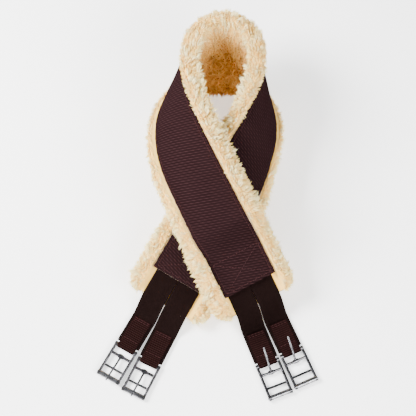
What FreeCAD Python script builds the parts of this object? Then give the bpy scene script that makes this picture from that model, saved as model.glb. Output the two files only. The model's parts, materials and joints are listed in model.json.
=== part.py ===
import FreeCAD, Part
import os
from bisect import bisect_left
from math import acos, asin, atan2, cos, degrees, hypot, pi, radians, sin, tan

# Saddle girth, folded for the shelf: the padded panel makes one loop that stands on its outer edge,
# and its two ends cross in front and come down to the surface that the girth lies on.
# Millimetres. +X right, +Y away, +Z up, origin under the middle of the footprint.
# The near end lies over the off end. On each end one strap runs on the outer side of the panel's
# bend and one on the inner side.

Vector = FreeCAD.Vector

# Panel
panel_half_length = 409.0
webbing_width = 76.0
webbing_thickness = 2.0
backing_margin = 2.0
backing_thickness = 1.0
core_margin = 4.0
core_thickness = 2.2
layer_gap = 0.2
fleece_overhang = 25.0
back_rim_overhang = 35.0
near_end_overhang = 25.0
off_end_overhang = 34.0
pile_depth = 20.5
near_pile_depth = 13.0
loop_pile_depth = 9.0
pile_change_start = 230.0
pile_change_run = 60.0
lip_height = 7.0
back_lip_height = 12.5
back_lip_run = 90.0
pressed_lip_height = 2.0
lip_gap = 0.6
off_press_start = 140.0
off_press_run = 80.0

# Fold: the panel is wrapped on an elliptic cone and leaves it flat along the front
cone_half_width = 18.9
cone_half_depth = 20.3
back_slope = 65.0
apex_height = 218.0
apex_to_middle = 177.0
fold_twist = -2.3
touchdown_radius = 60.0
over_lift = 38.0
over_lift_run = 230.0
over_roll = 0.9
over_roll_start = 335.0
over_roll_run = 75.0
side_lean = 5.0
side_lean_start = 90.0
side_lean_end = 300.0
side_lean_fade = 110.0
near_settle = 0.0
off_settle = 0.5
stiff_margin = 4.0
stiff_blend = 36.0

# Straps
strap_width = 32.0
strap_spacing = 33.4
elastic_thickness = 1.8
anchor_depth = 46.0
elastic_free_length = 72.0
near_heading = 22.5
off_heading = -28.0
near_buckle_gap = 1.4
off_buckle_gap = 2.8

# Tabs
tab_thickness = 1.5
tab_length = 45.0
tab_taper = 10.0
elastic_end_gap = 5.0

# Buckles
billet_width = 25.0
billet_clearance = 1.0
rail_width = 3.9
rail_height = 4.2
rail_tail = 2.6
rail_rounding = 0.9
strap_boss_radius = 2.6
roller_boss_radius = 3.0
rivet_head_height = 0.8
bar_diameter = 4.0
tongue_bar_place = 13.0
middle_bar_place = 32.0
roller_place = 45.0
middle_bar_width = 3.0
middle_bar_height = 2.0
middle_bar_drop = 1.0
roller_diameter = 7.0
hub_diameter = 6.8
hub_width = 3.6
collar_diameter = 5.8
collar_width = 1.6
tongue_overrun = 6.0
tongue_root_radius = 1.6
tongue_tip_radius = 1.15
running_gap = 0.3
near_tongue_angle = 130.0

# Thread
thread_width = 0.9
thread_height = 0.5
stitch_margin = 4.0
box_stitch_length = 42.0
tab_stitch_margin = 2.2
tab_stitch_inset = 1.5
tab_row_pitch = 2.5

tab_width = billet_width
buckle_inner_width = billet_width + billet_clearance
buckle_outer_width = buckle_inner_width + 2 * (rail_width + rivet_head_height)
splay_reach = tab_length + elastic_free_length / 2
half_webbing = webbing_width / 2
edge_stitch_gap = 4 * thread_width
stiff_end = stiff_margin + max(anchor_depth + core_margin, stitch_margin + box_stitch_length + edge_stitch_gap)
backing_top = -webbing_thickness - layer_gap
backing_bottom = backing_top - backing_thickness
filling_top = backing_bottom - layer_gap
fleece_floor = filling_top - core_thickness - layer_gap
fleece_bottom = fleece_floor - pile_depth
lip_wall = half_webbing + backing_margin + lip_gap
front_slope = back_slope - 2 * cone_half_depth
rest_height = -fleece_bottom
bar_radius = bar_diameter / 2
loop_radius = bar_radius + running_gap
bar_height = loop_radius + tab_thickness + running_gap
rail_offset = (buckle_inner_width + rail_width) / 2
roller_radius = roller_diameter / 2
tongue_rise = asin((roller_radius + tongue_tip_radius + running_gap) / (roller_place - tongue_bar_place))
tongue_length = roller_place - tongue_bar_place + tongue_overrun

straps = ["near_outer", "near_inner", "off_inner", "off_outer"]


def smooth(x):
    x = min(max(x, 0.0), 1.0)
    return x * x * (3 - 2 * x)


# The cone's cross curve on a unit sphere, measured by the angle travelled along it
def cone_ray(turn):
    ray = Vector(tan(radians(cone_half_width)) * sin(turn), 1.0, -tan(radians(cone_half_depth)) * cos(turn))
    return ray.normalize()


cone_steps = 720
cone_rays = [cone_ray(pi * step / cone_steps) for step in range(cone_steps + 1)]
cone_travel = [0.0]
for before, after in zip(cone_rays, cone_rays[1:]):
    cone_travel.append(cone_travel[-1] + (after - before).Length)


def wrapped_ray(travel):
    """Unit ray from the apex after this much travel from the back, as (side, forward, outward)."""
    if travel >= cone_travel[-1]:
        past = travel - cone_travel[-1]
        front = cone_rays[-1]
        return Vector(-sin(past), cos(past) * front.y, cos(past) * front.z)
    upper = max(1, bisect_left(cone_travel, travel))
    share = (travel - cone_travel[upper - 1]) / (cone_travel[upper] - cone_travel[upper - 1])
    return cone_rays[upper - 1] * (1 - share) + cone_rays[upper] * share


def folded_skin(s, w):
    """Point of the panel's outer face: s along it (near end negative), w across it towards the rim."""
    reach = hypot(s, apex_to_middle - w)
    ray = wrapped_ray(atan2(abs(s), apex_to_middle - w)) * reach
    half_depth = radians(cone_half_depth)
    forward = ray.y * cos(half_depth) + ray.z * sin(half_depth)
    outward = -ray.y * sin(half_depth) + ray.z * cos(half_depth)
    if s < 0:
        full_width = webbing_width + 2 * fleece_overhang
        roll = over_roll * smooth((-s - over_roll_start) / over_roll_run) * (0.5 + w / full_width)
        outward += over_lift * smooth(-s / over_lift_run) * (1 - roll)
    slope = radians(front_slope)
    drop_run = (apex_height - rest_height - touchdown_radius * (1 - cos(slope))) / sin(slope)
    if forward < drop_run:
        angle = slope
        along = forward * cos(slope)
        height = apex_height - forward * sin(slope)
    elif forward < drop_run + touchdown_radius * slope:
        angle = slope - (forward - drop_run) / touchdown_radius
        along = drop_run * cos(slope) + touchdown_radius * (sin(slope) - sin(angle))
        height = rest_height + touchdown_radius * (1 - cos(angle))
    else:
        angle = 0.0
        along = drop_run * cos(slope) + touchdown_radius * sin(slope) + forward - drop_run
        along -= touchdown_radius * slope
        height = rest_height
    x = ray.x if s >= 0 else -ray.x
    leaning = smooth(abs(s) / side_lean_start) * smooth((side_lean_end - abs(s)) / side_lean_fade)
    x -= side_lean * leaning * (0.5 - w / webbing_width)
    y = -along - outward * sin(angle)
    twist = radians(fold_twist)
    turned_x = x * cos(twist) - y * sin(twist)
    turned_y = x * sin(twist) + y * cos(twist)
    return Vector(turned_x, turned_y, height + outward * cos(angle))


def folded(s, w, h):
    """The same point moved h along the panel's outward normal."""
    step = 0.5
    along = folded_skin(s + step, w) - folded_skin(s - step, w)
    across = folded_skin(s, w + step) - folded_skin(s, w - step)
    normal = across.cross(along).normalize()
    return folded_skin(s, w) + normal * h


def end_frame(side):
    """Flat frame at the middle of the webbing's end: origin, direction out of the end, rimward, up."""
    s = side * panel_half_length
    settle = near_settle if side < 0 else off_settle
    origin = folded_skin(s, 0)
    rimward = (folded_skin(s, 20) - folded_skin(s, -20)).normalize()
    out = (folded_skin(s + side * 6, 0) - folded_skin(s - side * 6, 0)).normalize()
    rimward.z *= 1 - settle
    out.z *= 1 - settle
    rimward.normalize()
    out = (out - rimward * out.dot(rimward)).normalize()
    up = rimward.cross(out)
    if side < 0:
        up = out.cross(rimward)
    return origin, out, rimward, up


end_frames = {-1: end_frame(-1), 1: end_frame(1)}


def panel_point(s, w, h):
    """Any point of the panel's layers. The ends, stiff with strap anchors, are flat."""
    side = -1 if s < 0 else 1
    past = abs(s) - (panel_half_length - stiff_end - stiff_blend)
    flat_share = smooth(past / stiff_blend)
    point = Vector(0, 0, 0)
    if flat_share < 1:
        point += folded(s, w, h) * (1 - flat_share)
    if flat_share > 0:
        origin, out, rimward, up = end_frames[side]
        flat = origin + out * (abs(s) - panel_half_length) + rimward * w + up * h
        point += flat * flat_share
    return point


def spline_edge(points):
    curve = Part.BSplineCurve()
    curve.interpolate(points)
    return curve.toShape()


def stations(start, end, pitch):
    count = max(2, int(round(abs(end - start) / pitch)) + 1)
    return [start + (end - start) * i / (count - 1) for i in range(count)]


def panel_stations():
    """Places along the panel where every layer has a section, so that the layers stay parallel."""
    flat_start = panel_half_length - stiff_end
    blend_start = flat_start - stiff_blend
    half = stations(0, blend_start, 13.0)
    half += stations(blend_start, flat_start, 8.0)[1:]
    half += stations(flat_start, panel_half_length, 24.0)[1:]
    return [-s for s in reversed(half[1:])] + half


def loft(sections):
    """Closed solid through sections; each section is a list of edges' point lists, end to end."""
    wires = []
    for section in sections:
        edges = []
        for points in section:
            if len(points) == 2:
                edges.append(Part.LineSegment(points[0], points[1]).toShape())
            else:
                edges.append(spline_edge(points))
        wires.append(Part.Wire(edges))
    solid = Part.makeLoft(wires, True, True)
    if solid.Volume < 0:
        solid.reverse()
    return solid


def layer_stations(half_length):
    inside = [s for s in panel_stations() if abs(s) < half_length - 1.0]
    return [-half_length] + inside + [half_length]


def panel_layer(half_length, half_width, bottom, top):
    """A layer of the panel with a rectangular section."""
    widths = stations(-half_width, half_width, 9.5)
    sections = []
    for s in layer_stations(half_length):
        upper = [panel_point(s, w, top) for w in widths]
        lower = [panel_point(s, w, bottom) for w in reversed(widths)]
        sections.append([upper, [upper[-1], lower[0]], lower, [lower[-1], upper[0]]])
    return loft(sections)


def back_share(s):
    """1 at the middle of the panel, at the back of the loop, falling to 0 along both sides."""
    return 1 - smooth(abs(s) / back_lip_run)


def fleece_outline(s, share, whole_overhang):
    """Half outline of the fleece from the lip beside the webbing to the middle of the pile, as (w, h)."""
    overhang = whole_overhang - backing_margin - lip_gap
    full = smooth((abs(s) - pile_change_start) / pile_change_run)
    tail_depth = pile_depth if s > 0 else near_pile_depth
    depth = loop_pile_depth * (1 - full) + tail_depth * full
    pressed = smooth((s - off_press_start) / off_press_run)
    lip = lip_height + (back_lip_height - lip_height) * back_share(s)
    rise = lip * (1 - pressed) + pressed_lip_height * pressed - fleece_floor
    half = [
        (lip_wall, 0.72 * rise),
        (lip_wall + 0.22 * overhang, rise),
        (lip_wall + 0.60 * overhang, 0.80 * rise),
        (lip_wall + 0.92 * overhang, -0.05 * depth),
        (lip_wall + overhang, -0.36 * depth),
        (lip_wall + 0.86 * overhang, -0.72 * depth),
        (lip_wall + 0.45 * overhang, -0.95 * depth),
        (lip_wall - 0.25 * overhang, -depth),
        (0.35 * lip_wall, -depth),
    ]
    result = []
    for w, h in half:
        if w > lip_wall:
            w = lip_wall + (w - lip_wall) * share
        result.append((w, fleece_floor + h * share))
    return result


def fleece_section(s, share):
    rim_overhang = fleece_overhang + (back_rim_overhang - fleece_overhang) * back_share(s)
    rim = fleece_outline(s, share, rim_overhang)
    lower = fleece_outline(s, share, fleece_overhang)
    outline = rim + [(-w, h) for w, h in reversed(lower)]
    outer = [panel_point(s, w, h) for w, h in outline]
    floor = [panel_point(s, lip_wall * i / 4, fleece_floor) for i in range(-4, 5)]
    return [outer, [outer[-1], floor[0]], floor, [floor[-1], outer[0]]]


def make_fleece():
    near_tip = panel_half_length + near_end_overhang
    off_tip = panel_half_length + off_end_overhang
    rounded = [(0.0, 0.50), (2.2, 0.72), (7.5, 0.92), (16.0, 1.0)]
    sections = [fleece_section(back - near_tip, share) for back, share in rounded]
    sections += [fleece_section(s, 1.0) for s in panel_stations()]
    sections += [fleece_section(off_tip - back, share) for back, share in reversed(rounded)]
    return loft(sections)


fleece = make_fleece()
ground = fleece.optimalBoundingBox(False, False).ZMin


def heading_vector(heading):
    return Vector(sin(radians(heading)), -cos(radians(heading)), 0)


def strap_side(strap):
    return -1 if strap.startswith("near") else 1


def end_overhang(strap):
    return near_end_overhang if strap.startswith("near") else off_end_overhang


def strap_lane(strap):
    """Distance of the strap's middle from the panel's middle, towards the rim."""
    return strap_spacing / 2 if strap.endswith("inner") else -strap_spacing / 2


def buckle_splay(gap):
    """Angle between two neighbouring straps that keeps their buckles this gap apart."""
    return degrees(atan2(buckle_outer_width + gap - strap_spacing, splay_reach))


def strap_heading(strap):
    near = strap.startswith("near")
    middle = near_heading if near else off_heading
    splay = buckle_splay(near_buckle_gap if near else off_buckle_gap)
    left = strap in ("near_outer", "off_inner")
    return middle - splay / 2 if left else middle + splay / 2


def hermite(start, start_pull, end, end_pull, t):
    a = 2 * t ** 3 - 3 * t ** 2 + 1
    b = t ** 3 - 2 * t ** 2 + t
    c = -2 * t ** 3 + 3 * t ** 2
    d = t ** 3 - t ** 2
    return start * a + start_pull * b + end * c + end_pull * d


def hanging_path(strap):
    """The strap's middle line from the fleece's end to the tab's hem, and the direction across it."""
    side = strap_side(strap)
    origin, out, rimward, up = end_frames[side]
    middle = filling_top - elastic_thickness / 2 - layer_gap
    start = origin + out * end_overhang(strap) + rimward * strap_lane(strap) + up * middle
    ahead = heading_vector(strap_heading(strap))
    tail_heading = degrees(atan2(out.x, -out.y))
    chord = heading_vector((tail_heading + strap_heading(strap)) / 2)
    length = elastic_free_length - end_overhang(strap)
    low, high = 0.2 * length, length
    for _ in range(40):
        reach = (low + high) / 2
        end = Vector(start.x, start.y, ground + bar_height) + chord * reach
        points = [hermite(start, out * length, end, ahead * length, i / 40) for i in range(41)]
        measured = sum((b - a).Length for a, b in zip(points, points[1:]))
        if measured > length:
            high = reach
        else:
            low = reach
    across_start = rimward if side < 0 else rimward * -1
    across_end = Vector(-ahead.y, ahead.x, 0)
    frames = []
    count = 8
    for i in range(1, count + 1):
        t = i / count
        place = hermite(start, out * length, end, ahead * length, t)
        before = hermite(start, out * length, end, ahead * length, t - 0.01)
        after = hermite(start, out * length, end, ahead * length, t + 0.01)
        tangent = (after - before).normalize()
        across = across_start * (1 - t) + across_end * t
        across = (across - tangent * across.dot(tangent)).normalize()
        frames.append((place, across, across.cross(tangent) * -1))
    return frames, end, ahead


def strap_bar(strap):
    """Middle of the bar that the tab goes round, and the buckle's heading."""
    frames, hem, ahead = hanging_path(strap)
    return hem + ahead * tab_length, strap_heading(strap)


def make_elastic(strap):
    side = strap_side(strap)
    origin, out, rimward, up = end_frames[side]
    across = rimward if side < 0 else rimward * -1
    middle = filling_top - elastic_thickness / 2 - layer_gap
    lane = rimward * strap_lane(strap) + up * middle
    frames = []
    overhang = end_overhang(strap)
    for past in (-anchor_depth, -0.5 * anchor_depth, 0.0, 0.5 * overhang, overhang):
        frames.append((origin + out * past + lane, across, up))
    hanging, hem, ahead = hanging_path(strap)
    frames += hanging
    flat_across = Vector(-ahead.y, ahead.x, 0)
    for past in (0.4 * tab_length, 0.75 * tab_length, tab_length - elastic_end_gap):
        frames.append((hem + ahead * past, flat_across, Vector(0, 0, 1)))
    sections = []
    for place, across, up in frames:
        right = across * (strap_width / 2)
        rise = up * (elastic_thickness / 2)
        corners = [place - right + rise, place + right + rise, place + right - rise, place - right - rise]
        sections.append([[corners[i], corners[(i + 1) % 4]] for i in range(4)])
    return loft(sections)


def placed(shape, strap):
    """Moves a shape from the buckle's own frame (X out, Z up, origin in the strap bar) to its place."""
    bar, heading = strap_bar(strap)
    turned = shape.copy()
    turned.rotate(Vector(0, 0, 0), Vector(0, 0, 1), heading - 90)
    turned.translate(bar)
    return turned


def tangent_point(near_x, near_z, radius):
    """Where a line from (near_x, near_z) touches a circle about the bar, on its upper side."""
    distance = hypot(near_x, near_z)
    base = atan2(near_z, near_x)
    swing = acos(radius / distance)
    angle = base - swing
    return radius * cos(angle), radius * sin(angle)


def make_tab():
    inner_gap = elastic_thickness / 2 + layer_gap
    outer_gap = inner_gap + tab_thickness
    outer_radius = loop_radius + tab_thickness

    def point(x, z):
        return Vector(x, -tab_width / 2, z)

    edges = []
    for gap, radius in ((inner_gap, loop_radius), (outer_gap, outer_radius)):
        touch_x, touch_z = tangent_point(-tab_taper, gap, radius)
        hem_top = point(-tab_length, gap)
        knee_top = point(-tab_taper, gap)
        touch_top = point(touch_x, touch_z)
        touch_low = point(touch_x, -touch_z)
        knee_low = point(-tab_taper, -gap)
        hem_low = point(-tab_length, -gap)
        edges.append([
            Part.LineSegment(hem_top, knee_top).toShape(),
            Part.LineSegment(knee_top, touch_top).toShape(),
            Part.Arc(touch_top, point(radius, 0), touch_low).toShape(),
            Part.LineSegment(touch_low, knee_low).toShape(),
            Part.LineSegment(knee_low, hem_low).toShape(),
        ])
    inner, outer = edges
    ring = inner + outer
    for sign in (1, -1):
        hem = Part.LineSegment(point(-tab_length, sign * inner_gap), point(-tab_length, sign * outer_gap))
        ring.append(hem.toShape())
    ring = Part.__sortEdges__(ring)
    return Part.Face(Part.Wire(ring)).extrude(Vector(0, tab_width, 0))


def across_cylinder(x, z, radius, width, middle=0.0):
    return Part.makeCylinder(radius, width, Vector(x, middle - width / 2, z), Vector(0, 1, 0))


def make_frame():
    rail_end = roller_place + roller_radius
    shapes = []
    for side in (-1, 1):
        middle = side * rail_offset
        rail = Part.makeBox(rail_end + rail_tail, rail_width, rail_height)
        rail.translate(Vector(-rail_tail, middle - rail_width / 2, -rail_height / 2))
        long_edges = [edge for edge in rail.Edges if abs(edge.tangentAt(0).x) > 0.9]
        shapes.append(rail.makeFillet(rail_rounding, long_edges))
        shapes.append(across_cylinder(0, 0, strap_boss_radius, rail_width, middle))
        shapes.append(across_cylinder(roller_place, 0, roller_boss_radius, rail_width, middle))
        head_middle = middle + side * (rail_width / 2 + rivet_head_height - bar_radius)
        shapes.append(Part.makeSphere(bar_radius, Vector(roller_place, head_middle, 0)))
        collar_middle = side * (hub_width / 2 + running_gap + collar_width / 2)
        collar_radius = collar_diameter / 2
        shapes.append(across_cylinder(tongue_bar_place, 0, collar_radius, collar_width, collar_middle))
    for place in (0, tongue_bar_place, roller_place):
        shapes.append(across_cylinder(place, 0, bar_radius, buckle_inner_width + rail_width))
    middle_bar = Part.makeBox(middle_bar_width, buckle_inner_width + rail_width, middle_bar_height)
    middle_bar.translate(Vector(middle_bar_place - middle_bar_width / 2, -rail_offset, 0))
    middle_bar.translate(Vector(0, 0, -middle_bar_drop - middle_bar_height / 2))
    shapes.append(middle_bar)
    frame = shapes[0].multiFuse(shapes[1:]).removeSplitter()
    return frame.Solids[0]


def make_tongue(opened):
    """Tongue with its hub round the tongue bar, turned back by the given angle from lying on the roller."""
    hub = Part.makeCylinder(hub_diameter / 2, hub_width, Vector(0, -hub_width / 2, 0), Vector(0, 1, 0))
    bore = Part.makeCylinder(loop_radius, hub_width + 2, Vector(0, -hub_width / 2 - 1, 0), Vector(0, 1, 0))
    root = (loop_radius + hub_diameter / 2) / 2
    ahead = Vector(1, 0, 0)
    arm = Part.makeCone(tongue_root_radius, tongue_tip_radius, tongue_length - root, ahead * root, ahead)
    tip = Part.makeSphere(tongue_tip_radius, Vector(tongue_length, 0, 0))
    tongue = hub.fuse(arm).fuse(tip).cut(bore).removeSplitter()
    tongue.rotate(Vector(0, 0, 0), Vector(0, 1, 0), -degrees(tongue_rise) - opened)
    tongue.translate(Vector(tongue_bar_place, 0, 0))
    return tongue.Solids[0]


def make_roller():
    length = buckle_inner_width - 2 * running_gap
    outer = across_cylinder(roller_place, 0, roller_radius, length)
    return outer.cut(across_cylinder(roller_place, 0, loop_radius, length + 2))


def thread_section(left, right):
    """Section of a row of thread between two places (s, w) on the webbing."""
    low = layer_gap / 2
    high = low + thread_height
    corners = []
    for (s, w), h in ((left, high), (right, high), (right, low), (left, low)):
        corners.append(panel_point(s, w, h))
    return [[corners[i], corners[(i + 1) % 4]] for i in range(4)]


def thread_line(start, end):
    """A row of thread on the webbing from one (s, w) to another."""
    length = hypot(end[0] - start[0], end[1] - start[1])
    along = ((end[0] - start[0]) / length, (end[1] - start[1]) / length)
    half = thread_width / 2
    sections = []
    for distance in (0.0, length):
        s = start[0] + along[0] * distance
        w = start[1] + along[1] * distance
        left = (s - along[1] * half, w + along[0] * half)
        right = (s + along[1] * half, w - along[0] * half)
        sections.append(thread_section(left, right))
    return loft(sections)


def make_box_stitching(side):
    """Hem row, box and cross that hold the strap anchors at one end."""
    hem = side * (panel_half_length - stitch_margin)
    back = side * (panel_half_length - stitch_margin - box_stitch_length)
    edge = half_webbing - stitch_margin
    gap = 1.2 * thread_width
    rows = [thread_line((hem, -edge), (hem, edge)), thread_line((back, -edge), (back, edge))]
    for sign in (-1, 1):
        near_hem = (hem - side * gap, sign * (edge - gap))
        near_back = (back + side * gap, -sign * (edge - gap))
        if sign < 0:
            rows.append(thread_line(near_hem, near_back))
            continue
        middle = ((near_hem[0] + near_back[0]) / 2, 0.0)
        for end in (near_hem, near_back):
            share = 2.2 * gap / hypot(end[0] - middle[0], end[1])
            stop = (middle[0] + (end[0] - middle[0]) * share, end[1] * share)
            rows.append(thread_line(end, stop))
    return Part.makeCompound(rows)


def make_edge_stitching():
    """One long row beside each edge of the webbing, clear of the boxes."""
    end = panel_half_length - stitch_margin - box_stitch_length - edge_stitch_gap
    edge = half_webbing - stitch_margin
    rows = []
    for sign in (-1, 1):
        sections = []
        for s in layer_stations(end):
            left = (s, sign * edge - thread_width / 2)
            right = (s, sign * edge + thread_width / 2)
            sections.append(thread_section(left, right))
        rows.append(loft(sections))
    return Part.makeCompound(rows)


def make_tab_stitching():
    """Cross rows that hold the tab to the strap, on its upper face."""
    top = elastic_thickness / 2 + layer_gap + tab_thickness + layer_gap / 2
    row_length = tab_width - 2 * tab_stitch_inset
    first = -tab_length + tab_stitch_margin
    rows = []
    for place in (first, first + tab_row_pitch, -tab_taper - tab_stitch_margin):
        row = Part.makeBox(thread_width, row_length, thread_height)
        row.translate(Vector(place - thread_width / 2, -row_length / 2, top))
        rows.append(row)
    return Part.makeCompound(rows)


def make_everything():
    core_end = panel_half_length - anchor_depth - core_margin
    half_core = half_webbing - core_margin
    half_backing = half_webbing + backing_margin
    core_bottom = filling_top - core_thickness
    nodes = {}
    nodes["webbing_cover"] = panel_layer(panel_half_length, half_webbing, -webbing_thickness, 0)
    nodes["fleece_backing"] = panel_layer(panel_half_length, half_backing, backing_bottom, backing_top)
    nodes["foam_core"] = panel_layer(core_end, half_core, core_bottom, filling_top)
    nodes["fleece_lining"] = fleece
    nodes["edge_stitching"] = make_edge_stitching()
    nodes["box_stitching_near"] = make_box_stitching(-1)
    nodes["box_stitching_off"] = make_box_stitching(1)
    frame = make_frame()
    roller = make_roller()
    tab = make_tab()
    tab_rows = make_tab_stitching()
    for strap in straps:
        opened = near_tongue_angle if strap.startswith("near") else 0.0
        nodes["elastic_strap_" + strap] = make_elastic(strap)
        nodes["buckle_tab_" + strap] = placed(tab, strap)
        nodes["tab_stitching_" + strap] = placed(tab_rows, strap)
        nodes["buckle_frame_" + strap] = placed(frame, strap)
        nodes["buckle_tongue_" + strap] = placed(make_tongue(opened), strap)
        nodes["buckle_roller_" + strap] = placed(roller, strap)
    return nodes


def footprint_origin(nodes):
    box = FreeCAD.BoundBox()
    for shape in nodes.values():
        box.add(shape.optimalBoundingBox(False, False))
    return Vector((box.XMin + box.XMax) / 2, (box.YMin + box.YMax) / 2, box.ZMin), box


nodes = make_everything()
origin, overall = footprint_origin(nodes)
os.makedirs("parts", exist_ok=True)
for name, shape in nodes.items():
    shape.translate(-origin)
    shape.exportStep("parts/" + name + ".step")
sides = [round(side, 1) for side in (overall.XLength, overall.YLength, overall.ZLength)]
print("nodes", len(nodes), "size", sides)
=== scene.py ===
import json
from math import atan2, cos, pi, radians, sin, tan

import bpy
import numpy as np
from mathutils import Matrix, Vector


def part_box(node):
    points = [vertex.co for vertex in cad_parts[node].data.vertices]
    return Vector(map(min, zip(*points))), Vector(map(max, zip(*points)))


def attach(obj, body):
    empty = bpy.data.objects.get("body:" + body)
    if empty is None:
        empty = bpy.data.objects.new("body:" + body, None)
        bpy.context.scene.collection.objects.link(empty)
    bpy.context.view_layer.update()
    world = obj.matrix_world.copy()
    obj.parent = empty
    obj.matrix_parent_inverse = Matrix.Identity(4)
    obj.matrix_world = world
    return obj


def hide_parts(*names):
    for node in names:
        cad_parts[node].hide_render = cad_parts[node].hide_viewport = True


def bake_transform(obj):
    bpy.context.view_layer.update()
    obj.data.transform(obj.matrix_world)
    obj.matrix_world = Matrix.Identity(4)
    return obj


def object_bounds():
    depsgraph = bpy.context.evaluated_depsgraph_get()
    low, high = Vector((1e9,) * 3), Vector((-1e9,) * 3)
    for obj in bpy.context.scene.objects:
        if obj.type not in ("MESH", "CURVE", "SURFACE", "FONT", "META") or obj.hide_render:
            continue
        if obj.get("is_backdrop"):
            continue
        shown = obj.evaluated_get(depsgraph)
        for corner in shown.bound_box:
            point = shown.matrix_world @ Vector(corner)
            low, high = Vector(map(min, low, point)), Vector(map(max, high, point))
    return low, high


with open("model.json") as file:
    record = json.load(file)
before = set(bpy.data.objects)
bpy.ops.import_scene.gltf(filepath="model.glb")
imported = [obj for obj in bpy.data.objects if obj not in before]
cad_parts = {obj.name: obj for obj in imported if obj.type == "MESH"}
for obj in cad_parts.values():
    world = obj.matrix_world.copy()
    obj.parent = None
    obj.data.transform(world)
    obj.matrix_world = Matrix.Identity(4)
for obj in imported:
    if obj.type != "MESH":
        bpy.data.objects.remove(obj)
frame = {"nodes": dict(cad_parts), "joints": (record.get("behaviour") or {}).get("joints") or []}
cad_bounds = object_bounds()

# Saddle girth, folded for the shelf. Cloth is worked out in millimetres in the fold's own frame, as
# (s, w, h): s along the panel from its middle (near end negative), w across it towards the rim,
# h out of its webbing face. A piece is turned into metres in the part's frame when it is made.
MM = 0.001
random = np.random.default_rng(46)

# Panel
panel_half_length = 409.0
half_webbing = 38.0
webbing_thickness = 2.0
backing_margin = 2.0
backing_thickness = 1.0
core_margin = 4.0
core_thickness = 2.2
layer_gap = 0.2
fleece_overhang = 25.0
back_rim_overhang = 35.0
near_end_overhang = 25.0
off_end_overhang = 34.0
pile_depth = 20.5
near_pile_depth = 13.0
loop_pile_depth = 9.0
pile_change_start = 230.0
pile_change_run = 60.0
lip_height = 7.0
back_lip_height = 12.5
back_lip_run = 90.0
pressed_lip_height = 2.0
lip_gap = 0.6
off_press_start = 140.0
off_press_run = 80.0
near_press_start = 190.0
near_press_run = 50.0

# Fold
cone_half_width = radians(18.9)
cone_half_depth = radians(20.3)
back_slope = radians(65.0)
apex_height = 218.0
apex_to_middle = 177.0
fold_twist = radians(-2.3)
touchdown_radius = 60.0
over_lift = 38.0
over_lift_run = 230.0
over_roll = 0.9
over_roll_start = 335.0
over_roll_run = 75.0
side_lean = 5.0
side_lean_start = 90.0
side_lean_end = 300.0
side_lean_fade = 110.0
off_settle = 0.5
stiff_end = 54.0
stiff_blend = 36.0

# Straps and tabs
strap_width = 32.8
strap_gap = 0.1
elastic_thickness = 1.8
elastic_free_length = 72.0
anchor_depth = 46.0
tab_width = 25.0
tab_thickness = 1.5
tab_length = 45.0
tab_taper = 10.0
tab_loop_radius = 2.3
tab_rib_pitch = 2.8
tab_rib_height = 0.28
elastic_end_gap = 5.0
elastic_ribs = 15
elastic_rib_depth = 0.16
straps = ["near_outer", "near_inner", "off_inner", "off_outer"]

# Thread
stitch_length = 3.4
stitch_pitch = 4.2
thread_radius = 0.42
stitch_margin = 4.0
box_stitch_length = 42.0
edge_stitch_gap = 3.6
tab_stitch_margin = 2.2
tab_row_pitch = 2.5
tab_row_inset = 1.5
tab_thread_lift = 0.1
stitch_rings = 7
stitch_corners = 6
stitch_points = stitch_rings * stitch_corners
stitch_wander = 0.15
stitch_skew = 0.12
stitch_sink = 0.28
stitch_rise = 0.5
stitch_neck = 0.45
stitch_end = 0.4

# Unevenness of the webbing's face
seam_dent = 0.45
seam_dent_width = 1.5
ripple_height = 0.16
ripple_length = 9.0
swell_height = 0.22
swell_length = 34.0
edge_wander = 0.18
edge_wander_length = 7.0

backing_top = -webbing_thickness - layer_gap
backing_bottom = backing_top - backing_thickness
filling_top = backing_bottom - layer_gap
fleece_floor = filling_top - core_thickness - layer_gap
lip_wall = half_webbing + backing_margin + lip_gap
front_slope = back_slope - 2 * cone_half_depth
rest_height = pile_depth - fleece_floor
core_half_length = panel_half_length - anchor_depth - core_margin

# Pile
tip_rounding = 16.0
tip_arc = 26.0
tip_share = 0.06
near_tip = panel_half_length + near_end_overhang + 2.0
off_tip = panel_half_length + off_end_overhang + 2.0
pile_run = near_tip + off_tip - 2 * tip_rounding + 2 * tip_arc
lock_pitch_along = 1.7
lock_pitch_across = 1.5
clump_pitch = 5.6
lock_length = 8.2
lock_lean = 0.56
lock_radius = 0.55
lock_root = 1.4
lock_bend = 0.28
lock_curl = 0.5
lock_lean_power = 1.4
lock_parts = 8
lock_corners = 3
lock_rings = [(0.0, 1.0), (0.4, 0.85), (0.75, 0.5)]  # place along the lock, share of its radius
# Lock shades run from the root's darker colour to the tip's: partly the wool's own colour, partly painted
# shade deep in the pile.
lock_shades = [0.0, 0.42, 0.78, 1.0]  # at the rings and the tip, from the root's colour to the tip's
lock_points = lock_corners * len(lock_rings) + 1
lip_reach = 0.6
lip_reach_run = 14.0
inner_start = 44.0
inner_run = 12.0
inner_cut = 0.4
crossing_cut = 0.6
clump_jitter = 0.45
drift_lengths = (70, 46, 31, 19)
drift_strength = 0.42
body_inset = 4.0
inset_run = 14.0
back_bulge = 2.0
back_bulge_run = 150.0
body_step_along = 3.0
body_step_round = 3.2
body_floor_columns = 24
body_sink = 0.6
# The skin under the locks takes the pile's colour partway from the root, which is partly painted shade.
body_shade = 0.4
body_tone = 0.1
lump_height = 0.5
lump_length = 22.0
small_lump_height = 0.25
small_lump_length = 8.0
floor_clearance = 0.5
# Painted shade: where a deep golden colour darkens the pile inside the loop
inner_shade_start = 52.0
inner_shade_run = 40.0
inner_shade_half_length = 110.0
inner_shade_fade = 90.0

# Camera
camera_elevation = radians(69.4)
camera_distance = 2.0
camera_angle = radians(16.4)
camera_target = (-24.5, -284.6, 0.0)  # in the fold's own frame


# ---- The fold, as a mapping of arrays ----

def smooth(x):
    x = np.clip(x, 0.0, 1.0)
    return x * x * (3 - 2 * x)


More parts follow.
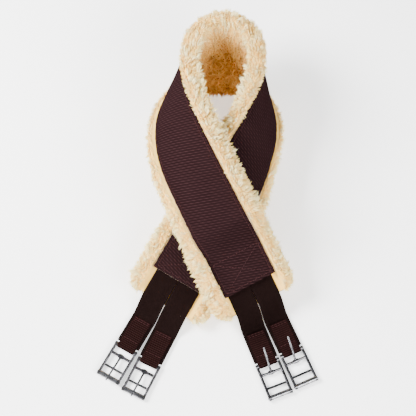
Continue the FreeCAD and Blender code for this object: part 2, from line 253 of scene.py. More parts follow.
def unit(vectors):
    return vectors / np.linalg.norm(vectors, axis=-1, keepdims=True)


def lengths_along(points):
    """Distance of each point along their line, from the first one."""
    return np.concatenate([[0.0], np.cumsum(np.linalg.norm(np.diff(points, axis=0), axis=1))])


cone_steps = 720
turns = np.linspace(0, pi, cone_steps + 1)
cone_rays = unit(np.stack([
    tan(cone_half_width) * np.sin(turns),
    np.ones_like(turns),
    -tan(cone_half_depth) * np.cos(turns)], 1))
cone_travel = lengths_along(cone_rays)


def wrapped_ray(travel):
    """Unit ray of the folded panel from the apex, at this angle on the flat one."""
    past = np.clip(travel - cone_travel[-1], 0, None)
    front = cone_rays[-1]
    flat = np.stack([-np.sin(past), np.cos(past) * front[1], np.cos(past) * front[2]], -1)
    curved = np.stack([np.interp(travel, cone_travel, cone_rays[:, i]) for i in range(3)], -1)
    return np.where((travel >= cone_travel[-1])[..., None], flat, curved)


def folded_skin(s, w):
    """Points of the panel's outer face."""
    away = apex_to_middle - w
    ray = wrapped_ray(np.arctan2(np.abs(s), away)) * np.hypot(s, away)[..., None]
    forward = ray[..., 1] * cos(cone_half_depth) + ray[..., 2] * sin(cone_half_depth)
    outward = -ray[..., 1] * sin(cone_half_depth) + ray[..., 2] * cos(cone_half_depth)
    full_width = 2 * half_webbing + 2 * fleece_overhang
    roll = over_roll * smooth((-s - over_roll_start) / over_roll_run) * (0.5 + w / full_width)
    outward = outward + over_lift * smooth(-s / over_lift_run) * (1 - roll)
    curl = touchdown_radius * (1 - cos(front_slope))
    drop_run = (apex_height - rest_height - curl) / sin(front_slope)
    angle = np.clip(front_slope - (forward - drop_run) / touchdown_radius, 0, front_slope)
    before = np.minimum(forward, drop_run)
    after = np.maximum(forward - drop_run - touchdown_radius * front_slope, 0)
    along = before * cos(front_slope) + touchdown_radius * (sin(front_slope) - np.sin(angle)) + after
    dropped = rest_height + touchdown_radius * (1 - np.cos(angle))
    height = np.where(forward < drop_run, apex_height - forward * sin(front_slope), dropped)
    leaning = smooth(np.abs(s) / side_lean_start) * smooth((side_lean_end - np.abs(s)) / side_lean_fade)
    x = np.where(s >= 0, ray[..., 0], -ray[..., 0]) - side_lean * leaning * (0.5 - w / (2 * half_webbing))
    y = -along - outward * np.sin(angle)
    turned_x = x * cos(fold_twist) - y * sin(fold_twist)
    turned_y = x * sin(fold_twist) + y * cos(fold_twist)
    return np.stack([turned_x, turned_y, height + outward * np.cos(angle)], -1)


def folded(s, w, h):
    """Points at height h over the panel's outer face."""
    step = 0.5
    along = folded_skin(s + step, w) - folded_skin(s - step, w)
    across = folded_skin(s, w + step) - folded_skin(s, w - step)
    return folded_skin(s, w) + unit(np.cross(across, along)) * h[..., None]


def skin_at(s, w):
    return folded_skin(np.array([float(s)]), np.array([float(w)]))[0]


def end_frame(side):
    """Flat frame at the middle of the webbing's end: origin, direction out of the end, rimward, up."""
    s = side * panel_half_length
    settle = off_settle if side > 0 else 0.0
    reach_across, reach_along = 20, 6
    rimward = unit(skin_at(s, reach_across) - skin_at(s, -reach_across))
    out = unit(skin_at(s + side * reach_along, 0) - skin_at(s - side * reach_along, 0))
    rimward[2] *= 1 - settle
    out[2] *= 1 - settle
    rimward = unit(rimward)
    out = unit(out - rimward * out.dot(rimward))
    return skin_at(s, 0), out, rimward, np.cross(rimward, out) * side


end_frames = {-1: end_frame(-1), 1: end_frame(1)}


def panel_point(s, w, h):
    """Points of the panel's layers. The ends, stiff with strap anchors, are flat."""
    s, w, h = np.broadcast_arrays(*(np.asarray(value, float) for value in (s, w, h)))
    flat_share = smooth((np.abs(s) - (panel_half_length - stiff_end - stiff_blend)) / stiff_blend)[..., None]
    points = folded(s, w, h) * (1 - flat_share)
    for side, (origin, out, rimward, up) in end_frames.items():
        past = (np.abs(s) - panel_half_length)[..., None]
        flat = origin + out * past + rimward * w[..., None] + up * h[..., None]
        points += np.where((np.sign(s) == side)[..., None], flat * flat_share, 0)
    return points


# ---- Making pieces ----

def webbing_corner():
    """Lowest corner of the webbing's box in the fold's own frame."""
    rows, columns = 400, 9
    s, w, h = np.meshgrid(np.linspace(-panel_half_length, panel_half_length, rows),
                          np.linspace(-half_webbing, half_webbing, columns), (-webbing_thickness, 0.0))
    return panel_point(s, w, h).reshape(-1, 3).min(0)


# The fold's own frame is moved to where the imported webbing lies
shift = np.array(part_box("webbing_cover")[0]) / MM - webbing_corner()


def tube_faces(rows, columns):
    """Quads between the rings of a tube, and its two end caps."""
    row, column = np.meshgrid(np.arange(rows - 1), np.arange(columns), indexing="ij")
    beside = (column + 1) % columns
    first = row * columns
    quads = np.stack([first + column, first + beside, first + columns + beside, first + columns + column], -1)
    ring = np.arange(columns)
    return quads.reshape(-1, 4), np.stack([ring[::-1], ring + (rows - 1) * columns])


def mesh_piece(name, points, face_groups, material, attributes):
    """points in metres. face_groups holds arrays of faces with the same number of corners."""
    mesh = bpy.data.meshes.new(name)
    mesh.vertices.add(len(points))
    mesh.vertices.foreach_set("co", np.ascontiguousarray(points, np.float32).ravel())
    corners = np.concatenate([faces.ravel() for faces in face_groups])
    sizes = np.concatenate([np.full(len(faces), faces.shape[1]) for faces in face_groups])
    mesh.loops.add(len(corners))
    mesh.loops.foreach_set("vertex_index", corners.astype(np.int32))
    mesh.polygons.add(len(sizes))
    mesh.polygons.foreach_set("loop_start", np.concatenate([[0], np.cumsum(sizes)[:-1]]).astype(np.int32))
    mesh.update(calc_edges=True)
    mesh.polygons.foreach_set("use_smooth", np.ones(len(sizes), bool))
    for key, values in attributes.items():
        kind = "FLOAT_VECTOR" if values.ndim == 2 else "FLOAT"
        field = "vector" if values.ndim == 2 else "value"
        layer = mesh.attributes.new(key, kind, "POINT")
        layer.data.foreach_set(field, np.ascontiguousarray(values, np.float32).ravel())
    mesh.materials.append(material)
    piece = bpy.data.objects.new(name, mesh)
    bpy.context.collection.objects.link(piece)
    return piece


def in_part_frame(points):
    return (points + shift) * MM


def sweep(name, rings, material, attributes):
    """Closed skin through rings (rows, columns, 3) in metres, capped at both ends."""
    faces = tube_faces(*rings.shape[:2])
    return face_out(mesh_piece(name, rings.reshape(-1, 3), faces, material, attributes))


def face_out(piece):
    """Turns a closed piece's faces outward."""
    mesh = piece.data
    mesh.calc_loop_triangles()
    count = len(mesh.loop_triangles)
    corners = np.empty(count * 3, np.int32)
    mesh.loop_triangles.foreach_get("vertices", corners)
    points = np.empty(len(mesh.vertices) * 3)
    mesh.vertices.foreach_get("co", points)
    a, b, c = points.reshape(-1, 3)[corners.reshape(-1, 3)].transpose(1, 0, 2)
    if (a * np.cross(b, c)).sum() < 0:
        mesh.flip_normals()
    return piece


def waves(s, w, length):
    """Soft seeded unevenness between about -1 and 1 over the cloth, with bumps of about this length."""
    count = 5
    total = np.zeros(np.broadcast(s, w).shape)
    for _ in range(count):
        turn, phase = random.uniform(0, 2 * pi, 2)
        size = length * random.uniform(0.7, 1.5)
        total += np.sin((s * cos(turn) + w * sin(turn)) * 2 * pi / size + phase)
    return total / count ** 0.5


# ---- Materials ----

def new_material(name, roughness, metallic=0.0, sheen=0.0, specular=0.5):
    material = bpy.data.materials.new(name)
    material.use_nodes = True
    shader = material.node_tree.nodes["Principled BSDF"]
    settings = {"Roughness": roughness, "Metallic": metallic, "Sheen Weight": sheen,
                "Sheen Roughness": 0.6, "Specular IOR Level": specular}
    for key, value in settings.items():
        shader.inputs[key].default_value = value
    return material, material.node_tree, shader


def node(tree, kind, settings=None, **inputs):
    """A node with its settings, whose inputs are values or other nodes' outputs."""
    made = tree.nodes.new(kind)
    for key, value in (settings or {}).items():
        setattr(made, key, value)
    for key, value in inputs.items():
        socket = made.inputs[int(key[1:]) if key[0] == "i" and key[1:].isdigit() else key.replace("_", " ")]
        if isinstance(value, bpy.types.NodeSocket):
            tree.links.new(value, socket)
        else:
            socket.default_value = value
    return made


def share_of(tree, name):
    return node(tree, "ShaderNodeAttribute", {"attribute_name": name}).outputs["Fac"]


def cloth_place(tree):
    """Millimetres along and across the cloth, and through it."""
    return node(tree, "ShaderNodeAttribute", {"attribute_name": "cloth"}).outputs["Vector"]


def noise(tree, coordinates, scale, detail=3.0):
    return node(tree, "ShaderNodeTexNoise", Vector=coordinates, Scale=scale, Detail=detail).outputs["Fac"]


def bands(tree, coordinates, wavelength, direction="X", distortion=0.0):
    """Sine bands with this wavelength in the coordinates' own units."""
    scale = 2 * pi / ((10 if direction == "DIAGONAL" else 20) * wavelength)
    settings = {"wave_type": "BANDS", "bands_direction": direction}
    made = node(tree, "ShaderNodeTexWave", settings, Vector=coordinates, Scale=scale, Distortion=distortion)
    return made.outputs["Fac"]


def arithmetic(tree, operation, first, second):
    return node(tree, "ShaderNodeMath", {"operation": operation}, i0=first, i1=second).outputs[0]


def ramp(tree, factor, *stops):
    made = node(tree, "ShaderNodeValToRGB", i0=factor)
    elements = made.color_ramp.elements
    while len(elements) < len(stops):
        elements.new(0.5)
    for element, (place, colour) in zip(elements, stops):
        element.position = place
        element.color = (*colour, 1.0)
    return made.outputs["Color"]


def mix(tree, factor, first, second):
    made = tree.nodes.new("ShaderNodeMix")
    made.data_type = "RGBA"
    for socket, value in ((made.inputs[0], factor), (made.inputs[6], first), (made.inputs[7], second)):
        if isinstance(value, bpy.types.NodeSocket):
            tree.links.new(value, socket)
        elif isinstance(value, tuple):
            socket.default_value = (*value, 1.0)
        else:
            socket.default_value = value
    return made.outputs[2]


def patched(tree, colour, patches, share, other):
    """colour, with up to this share of another colour where the patches are."""
    return mix(tree, arithmetic(tree, "MULTIPLY", patches, share), colour, other)


def raised(tree, value, share):
    """value times share plus a half, so that it is nowhere nothing."""
    made = node(tree, "ShaderNodeMath", {"operation": "MULTIPLY_ADD"}, i0=value, i1=share, i2=0.5)
    return made.outputs[0]


def surface(tree, shader, colour, height, distance, strength=1.0):
    """Links a colour, and a bump of this depth in metres, to the shader."""
    tree.links.new(colour, shader.inputs["Base Color"])
    made = node(tree, "ShaderNodeBump", Height=height, Distance=distance, Strength=strength)
    tree.links.new(made.outputs["Normal"], shader.inputs["Normal"])


def webbing_material():
    """Ribs run nearly across the webbing, each broken into the short dashes of a twill."""
    material, tree, shader = new_material("brown_twill_webbing", 0.8, specular=0.0)
    cloth = cloth_place(tree)
    rib_turn, dash_turn = radians(-17), radians(35)
    groove, side, crown = (0.005, 0.0021, 0.0024), (0.016, 0.007, 0.0076), (0.038, 0.018, 0.019)
    worn_brown, fibre_brown = (0.022, 0.010, 0.011), (0.008, 0.0035, 0.004)
    turned = node(tree, "ShaderNodeMapping", Vector=cloth, Rotation=(0, 0, rib_turn)).outputs[0]
    ribs = bands(tree, turned, wavelength=3.4, distortion=0.5)
    slanted = node(tree, "ShaderNodeMapping", Vector=cloth, Rotation=(0, 0, dash_turn)).outputs[0]
    dashes = bands(tree, slanted, wavelength=5.2, direction="Y", distortion=0.8)
    yarn = bands(tree, cloth, wavelength=1.1, direction="Y", distortion=0.4)
    weave = arithmetic(tree, "MULTIPLY", ribs, raised(tree, dashes, share=0.4))
    height = arithmetic(tree, "ADD", weave, raised(tree, yarn, share=0.12))
    worn = noise(tree, cloth, scale=0.045, detail=4.0)
    fibre = noise(tree, cloth, scale=1.6, detail=2.0)
    colour = ramp(tree, weave, (0.0, groove), (0.5, side), (1.0, crown))
    colour = patched(tree, colour, worn, 0.3, worn_brown)
    colour = patched(tree, colour, fibre, 0.35, fibre_brown)
    surface(tree, shader, colour, height, distance=0.0004)
    return material


def elastic_material():
    material, tree, shader = new_material("dark_ribbed_elastic", 0.8, specular=0.0)
    cloth = cloth_place(tree)
    groove, crown, patch = (0.002, 0.0010, 0.0009), (0.012, 0.0064, 0.0058), (0.009, 0.0048, 0.0044)
    cords = bands(tree, cloth, wavelength=1.1, direction="Y", distortion=0.15)
    picks = bands(tree, cloth, wavelength=1.25, distortion=0.3)
    weave = arithmetic(tree, "MULTIPLY", cords, raised(tree, picks, share=0.6))
    colour = ramp(tree, weave, (0.0, groove), (1.0, crown))
    colour = patched(tree, colour, noise(tree, cloth, scale=0.12), 0.4, patch)
    surface(tree, shader, colour, weave, distance=0.0003)
    return material


def tab_material():
    material, tree, shader = new_material("brown_ribbed_tab", 0.78, specular=0.0)
    cloth = cloth_place(tree)
    groove, side, crown = (0.003, 0.0012, 0.0011), (0.013, 0.0050, 0.0048), (0.034, 0.015, 0.014)
    patch = (0.011, 0.0045, 0.0042)
    ribs = bands(tree, cloth, wavelength=tab_rib_pitch, distortion=0.25)
    yarn = bands(tree, cloth, wavelength=0.9, direction="Y", distortion=0.3)
    weave = arithmetic(tree, "MULTIPLY", ribs, raised(tree, yarn, share=0.5))
    colour = ramp(tree, weave, (0.0, groove), (0.7, side), (1.0, crown))
    colour = patched(tree, colour, noise(tree, cloth, scale=0.15), 0.45, patch)
    surface(tree, shader, colour, weave, distance=0.0004)
    return material


def backing_material():
    material, tree, shader = new_material("cream_woven_backing", 0.85, sheen=0.2)
    cloth = cloth_place(tree)
    warp, weft = (bands(tree, cloth, wavelength=1.2, direction=way, distortion=0.2) for way in "XY")
    weave = arithmetic(tree, "MULTIPLY", warp, weft)
    colour = ramp(tree, weave, (0.0, (0.42, 0.31, 0.18)), (1.0, (0.74, 0.62, 0.42)))
    surface(tree, shader, colour, weave, distance=0.0003)
    return material


def foam_material():
    material, tree, shader = new_material("soft_foam", 0.9)
    cloth = cloth_place(tree)
    cells = node(tree, "ShaderNodeTexVoronoi", Vector=cloth, Scale=1.4).outputs["Distance"]
    colour = ramp(tree, cells, (0.0, (0.52, 0.48, 0.38)), (0.8, (0.80, 0.76, 0.64)))
    surface(tree, shader, colour, cells, distance=0.0003)
    return material


def thread_material():
    material, tree, shader = new_material("rose_brown_thread", 0.65, specular=0.05)
    cloth = cloth_place(tree)
    ply = bands(tree, cloth, wavelength=0.9, direction="DIAGONAL")
    colour = ramp(tree, ply, (0.0, (0.016, 0.005, 0.006)), (1.0, (0.060, 0.022, 0.023)))
    surface(tree, shader, colour, ply, distance=0.0002)
    return material


def fleece_material():
    """Locks run from a deep golden root to a pale cream tip, partly the wool's own colour and partly painted
    shade deep in the pile; inside the loop a deep golden painted shade is laid on them.
    """
    material, tree, shader = new_material("cream_fleece", 0.88, sheen=0.1, specular=0.2)
    pile = share_of(tree, "pile")
    tone = share_of(tree, "tone")
    place = node(tree, "ShaderNodeTexCoord").outputs["Object"]
    # Darker towards the root: partly the wool's own colour, partly painted shade deep in the pile.
    colour = ramp(tree, pile, (0.0, (0.62, 0.24, 0.02)), (0.35, (0.88, 0.50, 0.09)),
                  (0.75, (0.98, 0.69, 0.17)), (1.0, (1.0, 0.80, 0.28)))
    # The third colour is painted shade for the pile inside the loop.
    golden, pale, painted_shade_golden = (0.96, 0.60, 0.11), (1.0, 0.90, 0.52), (0.66, 0.34, 0.085)
    clouds = noise(tree, place, scale=28.0, detail=4.0)
    colour = mix(tree, tone, patched(tree, colour, clouds, 0.45, golden), pale)
    # Painted shade: deep golden laid on the pile inside the loop.
    warmth = share_of(tree, "warmth")
    colour = patched(tree, colour, warmth, 0.7, painted_shade_golden)
    shader.inputs["Subsurface Weight"].default_value = 0.12
    shader.inputs["Subsurface Radius"].default_value = (0.004, 0.0025, 0.0012)
    fibre = noise(tree, place, scale=1500.0, detail=2.0)
    surface(tree, shader, colour, fibre, distance=0.0004, strength=0.6)
    return material


def steel_material(name, low, high):
    material, tree, shader = new_material(name, 0.22, metallic=1.0)
    place = node(tree, "ShaderNodeTexCoord").outputs["Object"]
    stretched = node(tree, "ShaderNodeMapping", Vector=place, Scale=(1.0, 6.0, 1.0)).outputs[0]
    scratches = noise(tree, stretched, scale=900.0, detail=4.0)
    smudges = noise(tree, place, scale=160.0)
    colour = ramp(tree, smudges, (0.35, low), (0.65, high))
    rough = node(tree, "ShaderNodeMapRange", Value=scratches, To_Min=0.12, To_Max=0.36).outputs[0]
    tree.links.new(rough, shader.inputs["Roughness"])
    polish = noise(tree, place, scale=210.0, detail=2.0)
    scratch_depth = 0.12
    height = arithmetic(tree, "ADD", polish, arithmetic(tree, "MULTIPLY", scratches, scratch_depth))
    surface(tree, shader, colour, height, distance=0.0003, strength=0.5)
    return material


# ---- The panel ----

def layer_rings(half_length, half_width, bottom, top, step, dents):
    """Rings of a cloth slab with rounded edges, and the cloth coordinates of their points."""
    rows = int(2 * half_length / step) + 1
    columns = int(2 * half_width / step) + 1
    thick = top - bottom
    edge_bulge, edge_drop = 0.25 * thick, 0.3 * thick
    across = np.linspace(-half_width, half_width, columns)
    side = half_width + edge_bulge
    widths = np.concatenate([across, [side, side], across[::-1], [-side, -side]])
    edge_heights = [top - edge_drop, bottom + edge_drop]
    tops, bottoms = np.full(columns, top), np.full(columns, bottom)
    heights = np.concatenate([tops, edge_heights, bottoms, edge_heights[::-1]])
    s = np.repeat(np.linspace(-half_length, half_length, rows)[:, None], len(widths), 1)
    w = np.repeat(widths[None], rows, 0)
    h = np.repeat(heights[None], rows, 0)
    if dents:
        upper = h > (top + bottom) / 2
        seam = np.exp(-((np.abs(w) - (half_width - stitch_margin)) / seam_dent_width) ** 2)
        inside = np.abs(s) < half_length - 2
        h = h - np.where(upper & inside, seam_dent * seam, 0)
        ripples = ripple_height * waves(s, w, ripple_length) + swell_height * waves(s, w, swell_length)
        h = h + np.where(upper, ripples, 0)
        w = w + edge_wander * waves(s, 0 * w, edge_wander_length) * (np.abs(w) > half_width - 1)
    return in_part_frame(panel_point(s, w, h)), np.stack([s, w, h], -1)


def make_layer(name, material, half_length, half_width, bottom, top, step, dents=False):
    rings, cloth = layer_rings(half_length, half_width, bottom, top, step, dents)
    return sweep(name, rings, material, {"cloth": cloth.reshape(-1, 3)})


def half_outline(s, share, whole_overhang):
    """Points of the section from the lip beside the webbing to the middle of the pile."""
    overhang = whole_overhang - backing_margin - lip_gap
    full = smooth((np.abs(s) - pile_change_start) / pile_change_run)
    tail_depth = np.where(s > 0, pile_depth, near_pile_depth)
    depth = loop_pile_depth * (1 - full) + tail_depth * full
    pressed = smooth((s - off_press_start) / off_press_run)
    lip = lip_height + (back_lip_height - lip_height) * back_share(s)
    rise = lip * (1 - pressed) + pressed_lip_height * pressed - fleece_floor
    whole = np.ones_like(s)
    half = [
        (lip_wall * whole, 0.72 * rise),
        (lip_wall + 0.22 * overhang * share, rise),
        (lip_wall + 0.60 * overhang * share, 0.80 * rise),
        (lip_wall + 0.92 * overhang * share, -0.05 * depth),
        (lip_wall + overhang * share, -0.36 * depth),
        (lip_wall + 0.86 * overhang * share, -0.72 * depth),
        (lip_wall + 0.45 * overhang * share, -0.95 * depth),
        (lip_wall - 0.25 * overhang * whole, -depth),
        (0.35 * lip_wall * whole, -depth),
    ]
    return np.stack([np.stack([w, fleece_floor + h * share], -1) for w, h in half], -2)


def back_share(s):
    """1 at the back of the loop, falling to 0 on both sides of it."""
    return 1 - smooth(np.abs(s) / back_lip_run)


def pile_outline(s, share):
    """Outline points (..., 18, 2) of the pile's section, from the rim's lip round to the lower one."""
    rim_overhang = fleece_overhang + (back_rim_overhang - fleece_overhang) * back_share(s)
    rim = half_outline(s, share, rim_overhang)
    lower = half_outline(s, share, fleece_overhang)
    return np.concatenate([rim, lower[..., ::-1, :] * (-1, 1)], -2)


def pile_place(q):
    """Place s along the panel and roundness share at distance q over the pile, round tips included."""
    near = np.clip(q / tip_arc, 0, 1) * pi / 2
    off = np.clip((pile_run - q) / tip_arc, 0, 1) * pi / 2
    s = -near_tip + tip_rounding + (q - tip_arc)
    s = np.where(q < tip_arc, -near_tip + tip_rounding * (1 - np.cos(near)), s)
    s = np.where(q > pile_run - tip_arc, off_tip - tip_rounding * (1 - np.cos(off)), s)
    return s, np.clip(np.minimum(np.sin(near), np.sin(off)), tip_share, 1)


nominal = pile_outline(np.array(0.0), np.array(1.0))
nominal_girth = lengths_along(nominal)
pile_girth = nominal_girth[-1]


def pile_section(q, x):
    """Section point (w, h) and s at distances q along and x round the pile."""
    s, share = pile_place(q)
    outline = pile_outline(s, share)
    v = np.interp(x, nominal_girth, np.arange(len(nominal_girth)))
    index = np.clip(np.floor(v).astype(int), 0, len(nominal_girth) - 2)
    t = (v - index)[..., None]
    last = len(nominal_girth) - 1
    p0, p1, p2, p3 = (np.take_along_axis(outline, np.clip(index + k, 0, last)[..., None, None], -2)[..., 0, :]
                      for k in (-1, 0, 1, 2))
    point = 0.5 * (2 * p1 + (p2 - p0) * t + (2 * p0 - 5 * p1 + 4 * p2 - p3) * t ** 2
                   + (3 * p1 - p0 - 3 * p2 + p3) * t ** 3)
    return s, point[..., 0], point[..., 1]


def pile_surface(q, x):
    s, w, h = pile_section(q, x)
    return panel_point(s, w, h)


def pile_frame(q, x):
    """Points of the skin that the locks grow from, with unit directions along, round and out of it."""
    step = 0.6
    along = unit(pile_surface(q + step, x) - pile_surface(q - step, x))
    around = unit(pile_surface(q, x + step) - pile_surface(q, x - step))
    out = unit(np.cross(around, along))
    s, share = pile_place(q)
    at_back = 1 - smooth(np.abs(s) / back_bulge_run)
    inset = (body_inset - (body_inset + back_bulge) * at_back) * share
    inset = inset * smooth(np.minimum(x, pile_girth - x) / inset_run)
    return pile_surface(q, x) - out * inset[..., None], along, around, out


def on_floor(points):
    """Pile that would reach into the floor is pressed flat on it."""
    points = points.copy()
    low = floor_clearance * MM
    points[..., 2] = np.maximum(points[..., 2], low)
    return points


def make_fleece_body(material):
    """The skin under the locks, closed by a flat face towards the foam."""
    rows = int(pile_run / body_step_along)
    columns = int(pile_girth / body_step_round)
    end_gap, lip_gap_round, floor_inset = 0.5, 0.7, 0.5
    q = np.repeat(np.linspace(end_gap, pile_run - end_gap, rows)[:, None], columns, 1)
    x = np.repeat(np.linspace(0.0, pile_girth, columns)[None], rows, 0)
    skin, _, _, out = pile_frame(q, np.clip(x, lip_gap_round, pile_girth - lip_gap_round))
    lumps = lump_height * waves(q, x, lump_length) + small_lump_height * waves(q, x, small_lump_length)
    skin = skin + out * (lumps - body_sink)[..., None]
    s, w, _ = pile_section(q, x)
    t = np.linspace(1, 0, body_floor_columns)[None]
    floor_w = (w[:, :1] - floor_inset) * (2 * t - 1)
    floor = panel_point(s[:, :1] + 0 * floor_w, floor_w, np.full_like(floor_w, fleece_floor))
    rings = on_floor(in_part_frame(np.concatenate([skin, floor[:, ::-1]], 1)))
    count = rings.shape[0] * rings.shape[1]
    # Painted shade inside the loop; none on the flat face towards the foam.
    warmth = np.pad(inner_shade_share(q, x), ((0, 0), (0, body_floor_columns)))
    shade, tone = np.full(count, body_shade), np.full(count, body_tone)
    return sweep("fleece_body", rings, material, {"pile": shade, "tone": tone, "warmth": warmth.ravel()})


def clump_centres(q, x):
    """Nearest clump centre to each lock, and a number from 0 to 1 that the clump's locks share."""
    rows = int(pile_run / clump_pitch) + 3
    columns = int(pile_girth / clump_pitch) + 3
    jitter = random.uniform(-clump_jitter, clump_jitter, (rows, columns, 2))
    shared = random.uniform(0, 1, (rows, columns))
    row = np.clip(np.round(q / clump_pitch).astype(int), 0, rows - 1)
    column = np.clip(np.round(x / clump_pitch).astype(int), 0, columns - 1)
    best = np.full(q.shape, np.inf)
    centre = np.zeros(q.shape + (2,))
    number = np.zeros(q.shape)
    for down in (-1, 0, 1):
        for right in (-1, 0, 1):
            r = np.clip(row + down, 0, rows - 1)
            c = np.clip(column + right, 0, columns - 1)
            place = (np.stack([r, c], -1) + jitter[r, c]) * clump_pitch
            distance = np.hypot(place[..., 0] - q, place[..., 1] - x)
            nearer = distance < best
            best = np.where(nearer, distance, best)
            centre = np.where(nearer[..., None], place, centre)
            number = np.where(nearer, shared[r, c], number)
    return centre, number


drift_waves = [(random.uniform(0, 2 * pi), random.uniform(0, 2 * pi), size) for size in drift_lengths]


def pile_drift(q, x):
    """How far the nap turns from straight out of the webbing, the same in neighbouring locks."""
    total = 0
    for turn, phase, size in drift_waves:
        total = total + np.sin((q * cos(turn) + x * sin(turn)) * 2 * pi / size + phase)
    return drift_strength * total


def inner_shade_share(q, x):
    """1 deep on the pile's inner face within the loop, where a deep golden painted shade is laid on the wool.
    """
    s = pile_place(q)[0]
    below_rim = smooth((x - inner_shade_start) / inner_shade_run) * smooth((pile_girth - x) / inner_shade_start)
    return below_rim * (1 - smooth((np.abs(s) - inner_shade_half_length) / inner_shade_fade))


def lock_reach(q, x):
    """Share of their length that locks stand up: less by the webbing, inside, and under the crossing."""
    s = pile_place(q)[0]
    from_lip = np.minimum(x, pile_girth - x)
    beside = lip_reach + (1 - lip_reach) * smooth(from_lip / lip_reach_run)
    inner = smooth((from_lip - inner_start) / inner_run)
    crossing = smooth((-s - near_press_start) / near_press_run)
    return beside * (1 - inner_cut * inner) * (1 - crossing_cut * inner * crossing)


def make_locks(name, material, q_start, q_end):
    """Locks of wool: bent, tapered, and gathered towards the tips of their clumps."""
    rows = int((q_end - q_start) / lock_pitch_along)
    columns = int(pile_girth / lock_pitch_across)
    q, x = np.meshgrid(np.linspace(q_start, q_end, rows, endpoint=False) + lock_pitch_along / 2,
                       (np.arange(columns) + 0.5) * pile_girth / columns, indexing="ij")
    q = (q + random.uniform(-0.5, 0.5, q.shape) * lock_pitch_along).ravel()
    x = (x + random.uniform(-0.5, 0.5, x.shape) * lock_pitch_across).ravel()
    end_gap, lip_gap_round = 1.0, 0.8
    q = np.clip(q, end_gap, pile_run - end_gap)
    x = np.clip(x, lip_gap_round, pile_girth - lip_gap_round)
    count = len(q)
    root, along, around, out = pile_frame(q, x)
    centre, shared = clump_centres(q, x)
    clump_reach = 0.5 + 0.75 * shared ** 2
    reach = lock_length * lock_reach(q, x) * clump_reach * random.uniform(0.7, 1.15, count)
    gather = random.uniform(0.4, 0.9, count)
    lean = along * ((centre[:, 0] - q) * gather)[:, None] + around * ((centre[:, 1] - x) * gather)[:, None]
    clump_turn = 1.1 * (shared - 0.5)
    flow = np.where(x < pile_girth / 2, 0.0, pi) + pile_drift(q, x) + clump_turn
    combed = around * np.cos(flow)[:, None] + along * np.sin(flow)[:, None]
    lean += combed * (lock_lean * reach)[:, None]
    curl_turn = random.uniform(0, 2 * pi, count)
    curl = along * np.cos(curl_turn)[:, None] + around * np.sin(curl_turn)[:, None]
    thick = lock_radius * random.uniform(0.75, 1.25, count)
    first = random.uniform(0, 2 * pi, count)

    def middle(t):
        standing = root + out * (reach * (t - lock_bend * t * t) - lock_root * (1 - t))[:, None]
        return standing + lean * t ** lock_lean_power + curl * (lock_curl * sin(pi * t))

    rings = []
    for t, size in lock_rings:
        for corner in range(lock_corners):
            turn = first + corner * 2 * pi / lock_corners
            spoke = along * np.cos(turn)[:, None] + around * np.sin(turn)[:, None]
            rings.append(middle(t) + spoke * (thick * size)[:, None])
    points = np.stack(rings + [middle(1.0)], 1)
    # Painted shade inside the loop: deep golden colour and less of the pale tone.
    lock_inner_shade = inner_shade_share(q, x)
    shades = [shade for shade in lock_shades[:-1] for _ in range(lock_corners)] + lock_shades[-1:]
    tone = (0.75 * shared ** 2 + random.uniform(0, 0.25, count)) * (1 - lock_inner_shade)
    attributes = {"pile": np.tile(shades, count), "tone": np.repeat(tone, lock_points),
                  "warmth": np.repeat(lock_inner_shade, lock_points)}
    placed = on_floor(in_part_frame(points)).reshape(-1, 3)
    return face_out(mesh_piece(name, placed, lock_faces(count), material, attributes))


def lock_faces(count):
    """Quads between the rings of each lock, and triangles at its tip and across its root."""
    base = (np.arange(count) * lock_points)[:, None]
    corners = [(corner, (corner + 1) % lock_corners) for corner in range(lock_corners)]
    starts = [lock_corners * ring for ring in range(len(lock_rings))]
    quads = [base + [below + corner, below + beside, above + beside, above + corner]
             for below, above in zip(starts, starts[1:]) for corner, beside in corners]
    tip = lock_points - 1
    triangles = [base + [starts[-1] + corner, starts[-1] + beside, tip] for corner, beside in corners]
    triangles.append(base + [2, 1, 0])
    return [np.concatenate(quads), np.concatenate(triangles)]


# ---- Thread ----

def stitch_row(length, place):
    """Tube points and cloth coordinates of a row of stitches. place(distance, side, lift) gives points."""
    count = max(1, int(round(length / stitch_pitch)))
    pitch = length / count
    points = []
    cloth = []
    for number in range(count):
        middle = (number + 0.5) * pitch + random.uniform(-stitch_wander, stitch_wander)
        skew = random.uniform(-stitch_skew, stitch_skew)
        for t in np.linspace(-0.5, 0.5, stitch_rings):
            distance = middle + t * stitch_length
            bow = cos(pi * t)
            swell = stitch_neck + (1 - stitch_neck) * bow ** 0.5 if abs(t) < 0.5 else stitch_end
            for corner in range(stitch_corners):
                turn = 2 * pi * corner / stitch_corners
                side = thread_radius * swell * cos(turn) + skew * t * 2
                lift = thread_radius * swell * sin(turn) - stitch_sink + stitch_rise * bow
                points.append(place(distance, side, lift))
                cloth.append((distance, side, number))
    return np.array(points), np.array(cloth)


def stitch_piece(name, material, rows):
    """One piece from several rows of stitches in metres; each stitch is a closed tube."""
    points = np.concatenate([row[0] for row in rows])
    cloth = np.concatenate([row[1] for row in rows])
    starts = (np.arange(len(points) // stitch_points) * stitch_points)[:, None]
    tube, caps = tube_faces(stitch_rings, stitch_corners)
    faces = [(starts[:, None] + tube).reshape(-1, 4), (starts + caps[:, None]).reshape(-1, stitch_corners)]
    return face_out(mesh_piece(name, points, faces, material, {"cloth": cloth}))


def panel_row(start, end):
    """A row of stitches on the webbing between two places (s, w)."""
    start, end = np.array(start, float), np.array(end, float)
    length = np.linalg.norm(end - start)
    ahead = (end - start) / length
    aside = np.array([-ahead[1], ahead[0]])

    def place(distance, side, lift):
        return (*(start + ahead * distance + aside * side), lift)

    points, cloth = stitch_row(length, place)
    return in_part_frame(panel_point(*points.T)), cloth


